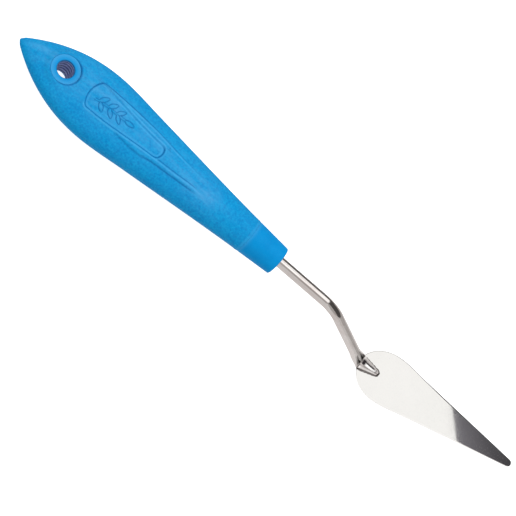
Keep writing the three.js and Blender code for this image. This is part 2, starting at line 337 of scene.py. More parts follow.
def grip_paint():
    """Soft blue moulded skin: satin, finely mottled, handling haze and painted sheen on top, painted shade
    in creases.
    """
    paint = Paint("soft_grip", IOR=1.47, Specular_IOR_Level=0.045)
    blotch = paint.noise(8, 4, 0.55, (1.6, 1, 1))
    mottle = paint.noise(0.8, 4, 0.7)
    grain = paint.noise(0.45, 3, 0.6)
    scuff = paint.noise(3.2, 6, 0.68, (2.4, 0.8, 1))
    base = paint.blend(paint.spread(blotch, 0.35, 0.68), (0.0002, 0.212, 0.49), (0.0006, 0.24, 0.52))
    base = paint.blend(paint.spread(mottle, 0.5, 0.7, 0, 0.8), base, (0.006, 0.3, 0.58))
    base = paint.blend(paint.spread(mottle, 0.5, 0.32, 0, 0.9), base, (0.0002, 0.16, 0.41))
    # Handling haze and a painted sheen on the upper side, lightening the skin towards a whitish blue.
    haze = paint.times(paint.attribute("haze"), paint.spread(scuff, 0.36, 0.66, 0.1, 1.0))
    base = paint.blend(paint.times(haze, 0.6), base, (0.07, 0.31, 0.585))
    # Painted highlights along the relief's raised rims and round the skin's front lip.
    base = paint.blend(paint.times(paint.attribute("rim"), 0.5), base, (0.07, 0.37, 0.68))
    # Painted shade in the relief's creases, the sprig's outlines and the step round the eye.
    base = paint.blend(paint.times(paint.attribute("crease"), 0.8), base, (0.0002, 0.085, 0.28))
    paint.set("Base Color", base)
    wear = paint.noise(2.2, 5, 0.6, (2, 1, 1))
    paint.set("Roughness", paint.spread(wear, 0.3, 0.7, 0.36, 0.52))
    paint.bumps((blotch, 0.15, 0.6), (mottle, 0.5, 0.16), (grain, 0.6, 0.05))
    return paint.material


def core_paint():
    """The core's harder blue plastic: smoother, with fine marks of wear, and slate in the bore."""
    paint = Paint("hard_core", IOR=1.5, Specular_IOR_Level=0.035)
    blotch = paint.noise(5, 4, 0.55)
    wipe = paint.noise(0.6, 4, 0.6, (0.5, 4, 4))
    mottle = paint.noise(0.9, 3, 0.6)
    base = paint.blend(paint.spread(blotch, 0.35, 0.7), (0.0002, 0.2, 0.49), (0.0004, 0.225, 0.53))
    base = paint.blend(paint.spread(mottle, 0.45, 0.75, 0, 0.3), base, (0.004, 0.26, 0.56))
    base = paint.blend(paint.attribute("haze"), base, (0.055, 0.315, 0.6))
    base = paint.blend(paint.attribute("bore"), base, (0.32, 0.38, 0.66))
    # Painted shade in the bore's tool rings and round its mouth, towards near black.
    base = paint.blend(paint.attribute("groove"), base, (0.02, 0.03, 0.1))
    paint.set("Base Color", base)
    paint.set("Roughness", paint.spread(wipe, 0.3, 0.7, 0.3, 0.46))
    grain = paint.noise(0.3, 2)
    paint.bumps((blotch, 0.1, 0.4), (wipe, 0.12, 0.03), (mottle, 0.2, 0.06), (grain, 0.25, 0.025))
    return paint.material


def rod_paint():
    """Polished steel rod: fine lines along its length, duller below the crank, painted shade, dark
    reflections and highlights at the crank and foot.
    """
    paint = Paint("polished_rod", Metallic=1.0)
    lines = paint.noise(0.16, 3, 0.65, (90, 1, 1))
    cloud = paint.noise(2.2, 4, 0.6, (2.5, 1, 1))
    pits = paint.noise(0.35, 4, 0.7)
    base = paint.blend(paint.spread(cloud, 0.35, 0.7), (0.7, 0.68, 0.665), (0.62, 0.57, 0.55))
    base = paint.blend(paint.spread(lines, 0.42, 0.7, 0, 0.5), base, (0.56, 0.5, 0.49))
    # Painted highlights and painted shade near the crank and the foot, from foot_marks.
    base = paint.blend(paint.attribute("bright"), base, (0.96, 0.95, 0.94))
    base = paint.blend(paint.attribute("tarnish"), base, (0.022, 0.018, 0.02))
    paint.set("Base Color", base)
    rough = paint.plus(paint.spread(cloud, 0.3, 0.7, 0.05, 0.1), paint.spread(lines, 0.35, 0.7, 0, 0.05))
    paint.set("Roughness", paint.plus(rough, paint.attribute("dull")))
    paint.bumps((lines, 0.12, 0.01), (pits, 0.06, 0.01))
    return paint.material


def blade_paint():
    """Mirror-ground spring steel: faint crosswise grinding lines and a few smears."""
    paint = Paint("mirror_blade", Metallic=1.0)
    lines = paint.noise(0.1, 2, 0.5, (1, 60, 1))
    smear = paint.noise(7, 5, 0.6, (1, 1.6, 1), 0.4)
    flecks = paint.noise(0.5, 3, 0.7)
    base = paint.blend(paint.spread(smear, 0.35, 0.7), (0.61, 0.6, 0.585), (0.595, 0.585, 0.57))
    base = paint.blend(paint.spread(flecks, 0.45, 0.75, 0, 0.2), base, (0.5, 0.5, 0.52))
    base = paint.blend(paint.attribute("edge"), base, (0.97, 0.96, 0.95))
    paint.set("Base Color", base)
    rough = paint.plus(paint.spread(smear, 0.3, 0.7, 0.015, 0.03), paint.spread(lines, 0.4, 0.7, 0, 0.01))
    rough = paint.plus(rough, paint.spread(flecks, 0.5, 0.72, 0, 0.05))
    paint.set("Roughness", paint.plus(rough, paint.times(paint.attribute("edge"), 0.4)))
    paint.bumps((lines, 0.02, 0.002))
    return paint.material


def weld_paint():
    """The dressed weld: rougher steel with straw and brown heat tint."""
    paint = Paint("weld_bead", Metallic=1.0)
    tint = paint.noise(0.9, 3, 0.5)
    base = paint.blend(paint.spread(tint, 0.35, 0.7), (0.3, 0.28, 0.275), (0.17, 0.15, 0.145))
    paint.set("Base Color", base)
    paint.set("Roughness", paint.spread(paint.noise(0.3, 3), 0.3, 0.7, 0.24, 0.42))
    paint.bumps((paint.noise(0.45, 3), 0.3, 0.05))
    return paint.material


# ---------- handle skin ----------


def tail_cap(x):
    return np.sqrt(1 - (1 - np.clip(x / TAIL_ROUNDING, 0, 1)) ** 2)


def half_width(x):
    return along(HALF_WIDTH, x) * tail_cap(x)


def bare_height(x, y):
    """Height of the handle's broad face over its axis, before any relief."""
    power = along(SQUARENESS, x)
    share = np.clip(np.abs(y) / np.maximum(half_width(x), 1e-6), 0, 1)
    return along(HALF_THICKNESS, x) * tail_cap(x) * (1 - share**power) ** (1 / power)


def nearest_side(*sides):
    """The least of the distances in from several sides, with rounded corners between them."""
    soften = 0.45
    return -soften * np.log(sum(np.exp(-np.clip(side, -12, 12) / soften) for side in sides))


def from_rear(x, y):
    """Distance forward of the panel's bowed rear edge."""
    middle_x, middle_y, bend = PANEL_REAR
    return x - (middle_x + bend * (y - middle_y) ** 2)


def panel_depth_inside(x, y):
    """Distance in from the nearest edge of the sunk panel, negative outside it."""
    middle_x, middle_y, bend = PANEL_FRONT
    to_front = middle_x - bend * (y - middle_y) ** 2 - x
    return nearest_side(from_rear(x, y), to_front, curve(PANEL_UPPER, x) - y, y - curve(PANEL_LOWER, x))


def sprig(x, y):
    """Height and outline of a plain leaf sprig in low relief."""
    stem = curve(SPRIG_STEM, x)
    on_stem = between(x, 32.4, 0.6, 46.6, 0.6)
    height = 0.12 * on_stem * ridge(y - stem, 0.25)
    outline = 0.8 * on_stem * ridge(np.abs(y - stem) - 0.42, 0.17)
    for base_x, angle, length in SPRIG_LEAVES:
        turn = math.radians(angle)
        from_x, from_y = x - base_x, y - curve(SPRIG_STEM, base_x)
        reach = (from_x * math.cos(turn) + from_y * math.sin(turn)) / length
        across = from_y * math.cos(turn) - from_x * math.sin(turn)
        on_leaf = (reach > 0.02) & (reach < 0.995)
        leaf = LEAF_SHARE * length * np.sin(math.pi * np.clip(reach, 0, 1) ** 0.85) ** 0.8
        edge = leaf - np.abs(across)
        vein = 0.07 * ridge(across, 0.15) * smooth(edge / 0.5)
        height += on_leaf * (0.16 * smooth(edge / 0.4) - vein)
        outside = 1 - on_leaf * smooth(edge / 0.25)
        outline = np.maximum(outline * outside, on_leaf * ridge(edge + 0.05, 0.18))
    return height, outline


def relief(x, y):
    """Height of the moulded relief over the bare upper face, and how deep in a crease: 0 to 1."""
    crest = curve(CREST, x)
    upper = np.minimum(curve(PANEL_UPPER, x), crest - 0.4)
    lower = curve(PANEL_LOWER, x)
    forward = smooth((x - 43) / 4)
    outer = mix(lower - 1.3, curve(SPINE_OUTER, x), forward)
    lasting = between(x, 29, 6, 86, 10)
    band = (1 - smooth((y - crest + 0.2) / 1.2)) * smooth((y - outer) / mix(1.3, 0.5, forward))
    height = SPINE_HEIGHT * lasting * band

    inside = panel_depth_inside(x, y)
    over_bevel = np.where(y > upper, np.clip((crest - y) / (crest - upper), 0, 1), 1)
    height -= PANEL_DEPTH * smooth((inside + 0.25 + 2.2 * (over_bevel < 1)) / 0.5) * smooth(over_bevel)

    fading = (1 - 0.45 * smooth((x - 50) / 8) - 0.4 * smooth((x - 62) / 18)) * (x < 86)
    outer_weight = mix(0.5, 0.8, smooth((x - 57) / 4)) * between(x, 44, 3, 81, 5)
    lines = [
        ridge(inside + 0.1, 0.25) * np.where(y > upper - 0.5, 0.3, 1),
        ridge(y - upper - 0.1, 0.25) * 0.35 * between(x, 44, 6, 63, 1),
        ridge(nearest_side(from_rear(x, y), crest + 0.35 - y), 0.28) * (y > 1.5) * fading,
        ridge(y - lower, 0.21) * 0.8 * between(x, 62.4, 1, 82, 5),
        ridge(y - outer, 0.25) * outer_weight,
    ]
    crease = np.max(lines, axis=0)
    leaf_height, outline = sprig(x, y)
    in_panel = smooth(inside / 0.4)
    crease = np.maximum(crease, outline * in_panel)
    return height + leaf_height * in_panel - CREASE_DEPTH * crease, crease


def skin_rim_highlights(points):
    """How strongly painted highlights lighten the relief's raised rims and the skin's front lip: 0 to 1
    for each point.
    """
    x, y, z = points.T
    crest, lower = curve(CREST, x), curve(PANEL_LOWER, x)
    inside = panel_depth_inside(x, y)
    along_panel = between(x, 30, 1, 65, 3)
    lines = [
        ridge(inside + 0.75, 0.28) * along_panel * (y < 4),
        0.7 * ridge(inside - 0.6, 0.3) * along_panel * (y < 3),
        0.8 * ridge(y - crest + 0.35, 0.35) * between(x, 31, 2, 80, 10),
        0.8 * ridge(y - lower + 0.6, 0.3) * between(x, 60, 3, 84, 4),
    ]
    # Painted highlight round the front lip.
    front = 0.3 * smooth((x - 104.7) / 0.4)
    return np.maximum(np.max(lines, axis=0) * smooth(z / 2), front)


def to_eye(x, y, height):
    """The skin's height, drawn towards the flat ring of the eye near it."""
    near = 1 - smooth((np.hypot(x - EYE_X, y) - EYE_RADIUS) / 2.4)
    flush = EYE_HALF_HEIGHT + 0.08
    return mix(height, flush, near * np.where(height < flush, 1, 0.4))


def seam_lip(x):
    """The skin's front end stands a little proud, and is rounded over."""
    lip = 0.06 * smooth((x - 104.4) / 0.5)
    return lip - 0.1 * smooth((x - 105.6) / 0.35) ** 2


def skin_rows():
    """The x of each row of the skin's grid: closest at the tail, over the relief and at the seam."""
    cap = TAIL_ROUNDING * (1 - np.cos(np.linspace(0.07, 1, 12) * math.pi / 2))
    bands = [(TAIL_ROUNDING, 12, 36), (12, 29.6, 62), (29.6, 64, 172)]
    bands += [(64, 104, 124), (104, SEAM_X - GAP, 15)]
    rows = [cap[:-1]] + [np.linspace(low, high, count, endpoint=False) for low, high, count in bands]
    return np.concatenate(rows + [[SEAM_X - GAP]])


def skin_columns():
    """Each column's share of the half width and its side: round the upper face, then the lower."""
    dense = 0.62
    near_edge = np.radians([0, 0.3, 0.9, 2])
    outer = np.linspace(math.radians(3.6), math.pi / 2 - math.asin(dense), 20)
    outer = np.cos(np.concatenate([near_edge, outer]))
    middle = np.linspace(dense, -dense, 87)[1:-1]
    upper = np.concatenate([outer, middle, -outer[::-1]])
    lower = -np.cos(np.concatenate([near_edge[1:], np.radians(np.linspace(4, 176, 56))]))
    lower = np.concatenate([lower, np.cos(near_edge[:0:-1])])
    return np.concatenate([upper, lower]), np.concatenate([np.ones(len(upper)), -np.ones(len(lower))])


def face_point(x, y, side):
    """Points of the skin over (x, y), on the upper face where side is 1 and the lower elsewhere."""
    height = to_eye(x, y, bare_height(x, y))
    height = np.where(side > 0, height + relief(x, y)[0] * smooth(height / 2), height)
    return np.stack(np.broadcast_arrays(x, y, side * height), -1)


def eye_patch(points, columns, first_row, last_row, first, last, side):
    """The points that lead the skin's grid in to the eye's opening and down its wall, their faces, and
    the numbers of the wall's last loop."""
    loop = [(first_row, j) for j in range(first, last)]
    loop += [(i, last) for i in range(first_row, last_row)]
    loop += [(last_row, j) for j in range(last, first, -1)]
    loop += [(i, first) for i in range(last_row, first_row, -1)]
    ring = [i * columns + j for i, j in loop]
    out = points[ring, :2] - (EYE_X, 0)
    rim = out / np.linalg.norm(out, axis=1, keepdims=True) * (EYE_RADIUS + 0.03)
    rings = []
    for share in np.linspace(0, 1, 22)[1:] ** 0.8:
        place = (EYE_X, 0) + mix(out, rim * (1 + 0.06), share)
        rings.append(face_point(place[:, 0], place[:, 1], side))
    top = rings[-1][:, 2]
    for shrink, drop in ((1.03, 0.02), (1.01, 0.09), (1, 0.22), (1, 1.6)):
        place = (EYE_X, 0) + rim * shrink
        rings.append(np.column_stack([place, top - side * drop]))
    new = np.concatenate(rings)
    numbers = ring + list(range(len(points), len(points) + len(new)))
    faces = [tuple(numbers[n] for n in face) for face in grid_faces(len(rings) + 1, len(ring))]
    return new, faces, numbers[-len(ring) :]


def joined_loops(points, first, second):
    """Triangles between two closed loops round the eye's axis, numbered in opposite directions."""

    def ordered(loop):
        turn = np.arctan2(points[loop, 1], points[loop, 0] - EYE_X) % (2 * math.pi)
        order = np.argsort(turn)
        numbers = [loop[i] for i in order]
        return numbers + numbers[:1], list(turn[order]) + [turn[order[0]] + 2 * math.pi]

    (a, a_turn), (b, b_turn) = ordered(first), ordered(second)
    i = j = 0
    faces = []
    while i < len(a) - 1 or j < len(b) - 1:
        if j == len(b) - 1 or (i < len(a) - 1 and a_turn[i + 1] < b_turn[j + 1]):
            faces.append((a[i], a[i + 1], b[j]))
            i += 1
        else:
            faces.append((a[i], b[j + 1], b[j]))
            j += 1
    return faces


def skin_points(xs, shares, sides):
    """The skin's grid of points, with its front lip and the low parting line round its edges."""
    x = np.repeat(xs[:, None], len(shares), 1)
    points = face_point(x, half_width(x) * shares, np.broadcast_to(sides, x.shape))
    radial = points * (0, 1, 1)
    radial /= np.maximum(np.linalg.norm(radial, axis=-1, keepdims=True), 1e-6)
    points = points + radial * seam_lip(x)[..., None]
    parting = 0.06 * ridge(points[..., 2], 0.12) * between(x, 1, 3, 105, 3)
    points[..., 1] += np.sign(points[..., 1]) * parting
    return points.reshape(-1, 3)


def closed_ends(points, rows, columns):
    """The skin's points and those that close its tail and front, and the faces between them."""
    tail, front = len(points), (rows - 1) * columns
    lip_start = tail + 2
    pocket_start = lip_start + columns
    lip = points[front : front + columns] * (1, LIP_SCALE, LIP_SCALE)
    pocket = lip * (1, POCKET_SCALE, POCKET_SCALE) - (POCKET_DEPTH, 0, 0)
    middles = [(0, 0, 0), (SEAM_X - POCKET_FLOOR, 0, 0)]
    faces = []
    for j in range(columns):
        k = (j + 1) % columns
        faces.append((tail, k, j))
        faces.append((front + j, front + k, lip_start + k, lip_start + j))
        faces.append((lip_start + j, lip_start + k, pocket_start + k, pocket_start + j))
        faces.append((pocket_start + j, pocket_start + k, tail + 1))
    return np.concatenate([points, middles, lip, pocket]), faces


def handle_skin():
    """The soft skin: one closed mesh, open only where the bore goes through."""
    xs = skin_rows()
    shares, sides = skin_columns()
    rows, columns = len(xs), len(shares)
    points = skin_points(xs, shares, sides)
    first_row = int(np.argmin(abs(xs - (EYE_X - PATCH_REACH))))
    last_row = int(np.argmin(abs(xs - (EYE_X + PATCH_REACH))))
    limit = PATCH_HALF_WIDTH / float(half_width(EYE_X))
    spans = []
    for side in (1, -1):
        inner = [j for j in range(columns) if sides[j] == side and abs(shares[j]) <= limit]
        spans.append((inner[0], inner[-1], side))

    def in_patch(i, j):
        return first_row <= i < last_row and any(a <= j < b for a, b, _ in spans)

    faces = grid_faces(rows, columns, skip=in_patch)
    mouths = []
    for first, last, side in spans:
        new, patch, mouth = eye_patch(points, columns, first_row, last_row, first, last, side)
        points = np.concatenate([points, new])
        faces += patch
        mouths.append(mouth)
    faces += joined_loops(points, *mouths)
    points, end_faces = closed_ends(points, rows, columns)
    faces += end_faces
    piece = make_piece("handle_skin", points, faces, ["grip_sleeve"], grip_paint())
    add_attributes(piece, haze=skin_haze(points), crease=skin_crease_shade(points), rim=skin_rim_highlights(points))


def skin_crease_shade(points):
    """How far each point lies in a crease or on the step round the eye, where shade is painted: 0 to 1."""
    x, y, z = points.T
    # Painted shade along the step round the eye, deepest on the belly side.
    belly_side = smooth((x - EYE_X + 1.5) / 5)
    step = ridge(np.hypot(x - EYE_X, y) - EYE_RADIUS - 0.25, 0.35) * mix(0.12, 0.9, belly_side)
    return np.maximum(relief(x, y)[1], step) * smooth(z / 2)


def skin_haze(points):
    """Where the skin carries handling haze and a painted sheen, on its upper side only: 0 to 1 for each
    point.
    """
    x, y, z = points.T
    # The sheen is painted on the upper side only, where the light falls.
    upper = smooth(z / 4)
    spine = between(x, 30, 8, 94, 14) * ridge(y + 0.8, 5.5)
    front = ridge(x - 83, 7) * ridge(y + 2.5, 3.2)
    corner = ridge(x - 42, 9) * ridge(y - 2.8, 2.2)
    tail = (1 - smooth((x - 17) / 12)) * ridge(y, 4)
    belly = between(x, 16, 8, 50, 16) * ridge(y - 1, 8)
    haze = 0.6 * spine + 0.8 * front + 0.7 * corner + 0.9 * tail + 0.6 * belly + 0.1
    return upper * np.clip(haze, 0, 1)


# ---------- handle core ----------


def collar():
    """The core's bare front end, from inside the skin to the domed nose."""
    wall = []
    for x in np.linspace(SEAM_X, HANDLE_LENGTH - NOSE_ROUNDING, 30):
        seam_dip = 0.03 * (1 - smooth((x - SEAM_X) / 1.2))
        wall.append((x, SEAM_RADIUS + COLLAR_SLOPE * (x - SEAM_X) - seam_dip))
    flat_radius = NOSE_RADIUS - NOSE_ROUNDING * 0.93
    corner = arc(HANDLE_LENGTH - NOSE_ROUNDING, flat_radius, NOSE_ROUNDING, math.pi / 2, 0, 8)
    socket = ROD_RADIUS + 0.22
    face = [(HANDLE_LENGTH + NOSE_DOME * t, mix(flat_radius, socket, t)) for t in (0.4, 0.75, 1)]
    sunk = [(HANDLE_LENGTH + NOSE_DOME - 0.15, socket - 0.12), (HANDLE_LENGTH - 0.6, socket - 0.14)]
    inner = [(SEAM_X - 2, 0), (SEAM_X - 2, SEAM_RADIUS - 1.9), (SEAM_X - 0.2, SEAM_RADIUS - 0.5)]
    profile = inner + wall + corner[1:] + face + sunk + [(HANDLE_LENGTH - 0.6, 0)]
    points, faces = turned(profile, 144)
    piece = make_piece("handle_collar", points, faces, ["handle_core"], core_paint(), sharp=40)
    none = np.zeros(len(points))
    haze = 0.35 * ridge(np.array(points)[:, 0] - SEAM_X, 0.8)
    add_attributes(piece, bore=none, groove=none, haze=haze)
    return piece


def eye_bush(material):
    """The core's flat-faced ring round the hanging hole, with shallow tool rings in the bore."""
    lip = EYE_HALF_HEIGHT - BORE_ROUNDING
    mouth = BORE_RADIUS + BORE_ROUNDING
    edge = 0.14
    rise = EYE_HALF_HEIGHT - edge
    wall = []
    for z in np.linspace(lip, -lip, 72)[1:-1]:
        wall.append((z, BORE_RADIUS + 0.14 * sum(ridge(z - place, 0.28) for place in BORE_RINGS)))
    profile = arc(-rise, EYE_RADIUS - edge, edge, math.pi, math.pi / 2, 4)
    profile += arc(rise, EYE_RADIUS - edge, edge, math.pi / 2, 0, 4)
    profile += arc(lip, mouth, BORE_ROUNDING, 0, -math.pi / 2, 6) + wall
    profile += arc(-lip, mouth, BORE_ROUNDING, -math.pi / 2, -math.pi, 6)
    angles = np.linspace(0, 2 * math.pi, 144, endpoint=False)
    points = [(EYE_X + r * math.cos(a), r * math.sin(a), z) for z, r in profile for a in angles]
    faces = grid_faces(len(profile), len(angles))
    last_row = len(points) - len(angles)
    for j in range(len(angles)):
        k = (j + 1) % len(angles)
        faces.append((last_row + j, last_row + k, k, j))
    piece = make_piece("eye_bush", points, faces, ["handle_core"], material)
    places = np.array(points)
    radius = np.hypot(places[:, 0] - EYE_X, places[:, 1])
    in_bore = smooth((radius < mouth) * (EYE_HALF_HEIGHT - 0.6 - np.abs(places[:, 2])) / 0.3)
    # Painted shade in the bore's tool rings.
    rings = sum(ridge(places[:, 2] - place, 0.45) for place in BORE_RINGS)
    mouth_shade = 0.5 * smooth((mouth - 0.05 - radius) / 0.15) * (1 - in_bore)
    groove = np.maximum(in_bore * np.clip(0.85 * rings, 0, 1), mouth_shade)
    haze = 0.65 * smooth((radius - BORE_RADIUS - 0.3) / 1.2)
    add_attributes(piece, bore=in_bore, groove=groove, haze=haze)


# ---------- shank ----------

ROD_SIDES = 72
crank_slope = math.atan2(JOINT_Z - ROD_Z, JOINT_X - CRANK_X)

# Half width, half thickness, and exponents above and below.
ROUND = np.array([ROD_RADIUS, ROD_RADIUS, 2, 2])
SPADE = np.array([SPADE_HALF_WIDTH, SPADE_HALF_THICKNESS, 4, 4])
NECK = np.array([ROOT_HALF_WIDTH, ROOT_HALF_THICKNESS, 2, 6])
ROOT = np.array([ROOT_HALF_WIDTH, ROOT_HALF_THICKNESS, 3, 8])
TIP = np.array([TONGUE_TIP_RADIUS, TONGUE_TIP_HALF_THICKNESS, 3, 8])

# The pressed foot's half section: (degrees round it, share of half width, share of half thickness).
PRESSED = [(-90, 0, -1), (-45, 1, -1), (-20, 1, -0.35), (5, 0.95, 0.05)]
PRESSED += [(35, 0.62, 0.2), (60, 0.45, 1), (90, 0, 1)]


def section_outline(size, facet):
    """(across, up) points of a section: a superellipse, or the pressed section as facet nears 1."""
    half_across, half_up, above, below = size
    angles = np.linspace(0, 2 * math.pi, ROD_SIDES, endpoint=False)
    c, s = np.cos(angles), np.sin(angles)
    power = np.where(s >= 0, above, below)
    across, up = np.sign(c) * abs(c) ** (2 / power), np.sign(s) * abs(s) ** (2 / power)
    if facet > 0:
        place, pressed_across, pressed_up = np.array(PRESSED, float).T
        height = np.degrees(np.arcsin(np.clip(s, -1, 1)))
        across = mix(across, np.sign(c) * np.interp(height, place, pressed_across), facet)
        up = mix(up, np.interp(height, place, pressed_up), facet)
    return half_across * across, half_up * up


def station_ring(x, z, turn, size, facet=0.0):
    across, up = section_outline(size, facet)
    return np.column_stack([x - up * math.sin(turn), across, z + up * math.cos(turn)])


def tang_rings():
    rings = [station_ring(x, ROD_Z, 0, SPADE) for x in (TANG_X, TANG_X + SPADE_LENGTH)]
    for t in np.linspace(0, 1, 7)[1:]:
        x = TANG_X + SPADE_LENGTH + 3 * t
        rings.append(station_ring(x, ROD_Z, 0, mix(SPADE, ROUND, smooth(t))))
    return rings


def crank_rings():
    straight = CRANK_X - CRANK_RADIUS * math.tan(-crank_slope / 2)
    rings = []
    for turn in np.linspace(0, crank_slope, 41):
        x = straight - CRANK_RADIUS * math.sin(turn)
        rings.append(station_ring(x, ROD_Z - CRANK_RADIUS * (1 - math.cos(turn)), turn, ROUND))
    return rings


def on_blade_ring(reach, up, turn, size, facet=0.0):
    x = JOINT_X + reach * math.cos(BLADE_SLOPE) - up * math.sin(BLADE_SLOPE)
    z = JOINT_Z + reach * math.sin(BLADE_SLOPE) + up * math.cos(BLADE_SLOPE)
    return station_ring(x, z, turn, size, facet) + (0, TONGUE_OFFSET * smooth((reach + 5) / 6), 0)


def foot_rings():
    """The neck flattens from below to the root, turns onto the blade and narrows to a round tongue."""
    lift = ROD_RADIUS - ROOT_HALF_THICKNESS
    height = ROOT_HALF_THICKNESS + GAP
    corner = BLADE_SLOPE - crank_slope
    corner_reach = lift / math.sin(corner) - height / math.tan(corner)
    tangent = ROOT_RADIUS * math.tan(corner / 2)
    rings = []
    for t in np.linspace(0, 1, 25):
        back = tangent + NECK_LENGTH * (1 - t)
        sink = lift * (1 - smooth(t))
        up = height + back * math.sin(corner) - sink * math.cos(corner)
        reach = corner_reach - back * math.cos(corner) - sink * math.sin(corner)
        rings.append(on_blade_ring(reach, up, crank_slope, mix(ROUND, NECK, smooth(t))))
    bend_end = corner_reach + tangent
    for t in np.linspace(0, 1, 13)[1:]:
        left = corner * (1 - t)
        reach = bend_end - ROOT_RADIUS * math.sin(left)
        up = height + ROOT_RADIUS * (1 - math.cos(left))
        rings.append(on_blade_ring(reach, up, BLADE_SLOPE - left, mix(NECK, ROOT, t), smooth(t)))
    tip_start = TONGUE_END - TONGUE_TIP_RADIUS
    for t in np.linspace(0, 1, 17)[1:]:
        size = mix(ROOT, TIP, t)
        rings.append(on_blade_ring(mix(bend_end, tip_start, t), size[1] + GAP, BLADE_SLOPE, size, 1))
    for angle in np.linspace(0, math.radians(84), 11)[1:]:
        size = TIP * (math.cos(angle), mix(0.75, 1, math.cos(angle)), 1, 1)
        reach = tip_start + TONGUE_TIP_RADIUS * math.sin(angle)
        rings.append(on_blade_ring(reach, size[1] + GAP, BLADE_SLOPE, size, 1))
    return rings


def shank():
    rings = tang_rings() + crank_rings() + foot_rings()
    points = np.concatenate(rings)
    faces = grid_faces(len(rings), ROD_SIDES)
    base = len(points) - ROD_SIDES
    faces.append(tuple(range(ROD_SIDES))[::-1])
    faces.append(tuple(range(base, base + ROD_SIDES)))
    piece = make_piece("shank_rod", points, faces, ["shank"], rod_paint(), sharp=28)
    # Painted shade and painted highlights for the rod, near the crank and the foot.
    tarnish, bright = foot_marks(points)
    dull = 0.12 * smooth((points[:, 0] - CRANK_X - 4) / 4)
    add_attributes(piece, tarnish=tarnish, bright=bright, dull=dull)


def foot_marks(points):
    """How much painted shade and dark reflections darken each point of the rod past the crank and at the
    foot, and how much painted highlight brightens it: 0 to 1 each."""
    place = (points - (JOINT_X, 0, JOINT_Z)) @ np.array(blade_to_handle.to_3x3())
    reach, up = place[:, 0], place[:, 2]
    across = place[:, 1] - TONGUE_OFFSET
    share = smooth((reach - 1.2) / 5.5)
    # Painted dark reflections on the tongue's top: its start, a bar and a line along it, and a ring round
    # its tip.
    top = smooth((up - 0.45) / 0.3)
    bar = 1.3 * ridge(across - mix(0.5, 0.25, share), 0.36) * between(reach, 1, 0.4, 7.2, 1)
    start = between(reach, 1, 0.3, 3.1, 0.8) * (1 - smooth((abs(across) - 0.9) / 0.4))
    line = 0.45 * ridge(across + mix(1.3, 0.95, share), 0.2) * between(reach, 2, 1, 6, 2)
    tip = 0.85 * ridge(np.hypot(reach - 6.6, across) - 0.95, 0.25) * smooth((reach - 6.8) / 0.5)
    painted_tongue_reflections = top * np.max([bar, start, line, tip], axis=0)
    # Painted shade in the inner corner of the bend onto the foot.
    widening = 0.65 * (reach + 0.9) / 1.5
    notch = smooth((widening - np.abs(np.abs(across + 0.35) - 0.95)) / 0.25)
    notch *= 1 - smooth((reach - 0.6) / 0.3)
    # Painted shade low on the foot, where it meets the blade.
    skirt_height = mix(0.65, 0.35, smooth((reach - 1) / 1.5))
    skirt = 0.95 * (1 - smooth((up - skirt_height) / 0.2)) * smooth((reach + 0.6) / 0.8)
    flange = 0.3 * smooth((reach - 1) / 1) * (1 - smooth((up - 1) / 0.3))
    # Painted highlights on the tongue's top facet and on the neck's fold.
    facet = ridge(across + mix(0.4, 0.3, share), 0.55) * between(reach, 2.2, 0.8, 7.6, 0.6)
    fold = ridge(across + 0.35, 0.5) * between(reach, -1.5, 0.5, 1.2, 0.3)
    # Painted shade just past the crank, and a painted highlight on the rod's lower run towards the foot.
    past_crank = points[:, 0] - CRANK_X
    painted_crank_shade = 0.2 * ridge(past_crank - 7, 6) * smooth((points[:, 1] + 0.3) / 0.8)
    painted_rod_highlight = 0.35 * smooth((past_crank - 11) / 9) * (reach < 0)
    dark = np.clip(np.max([painted_tongue_reflections, notch, skirt, flange, painted_crank_shade], axis=0), 0, 1)
    return dark, np.maximum(top * np.maximum(facet, fold), painted_rod_highlight)


# ---------- blade and weld ----------


def blade_outline(count):
    """(reach, half width) of the blade's outline from heel to tip."""
    tip_x = BLADE_END - BLADE_TIP_RADIUS
    taper = math.asin((TAPER_HALF_WIDTH - BLADE_TIP_RADIUS) / (tip_x - TAPER_START))
    pull = 5
    outline = []
    for angle in np.linspace(0, math.pi / 2, count):
        back = (BLADE_WIDEST - BLADE_HEEL) * math.cos(angle)
        outline.append((BLADE_WIDEST - back, BLADE_HALF_WIDTH * math.sin(angle)))
    bezier = [
        (BLADE_WIDEST, BLADE_HALF_WIDTH),
        (BLADE_WIDEST + pull, BLADE_HALF_WIDTH),
        (TAPER_START - pull, TAPER_HALF_WIDTH + pull * math.tan(taper)),
        (TAPER_START, TAPER_HALF_WIDTH),
    ]
    for t in np.linspace(0, 1, count // 2)[1:]:
        weights = ((1 - t) ** 3, 3 * t * (1 - t) ** 2, 3 * t * t * (1 - t), t**3)
        outline.append(tuple(np.dot(weights, bezier)))
    start = (tip_x + BLADE_TIP_RADIUS * math.sin(taper), BLADE_TIP_RADIUS * math.cos(taper))
    for t in np.linspace(0, 1, count)[1:-1]:
        outline.append((mix(TAPER_START, start[0], t), mix(TAPER_HALF_WIDTH, start[1], t)))
    for angle in np.linspace(math.pi / 2 - taper, 0, count // 3):
        outline.append((tip_x + BLADE_TIP_RADIUS * math.cos(angle), BLADE_TIP_RADIUS * math.sin(angle)))
    return np.array(outline)


def left_normals(ahead):
    """Flat unit vectors square to the ahead vectors, on their left side."""
    ahead = ahead / np.linalg.norm(ahead, axis=1, keepdims=True)
    return np.column_stack([-ahead[:, 1], ahead[:, 0]])


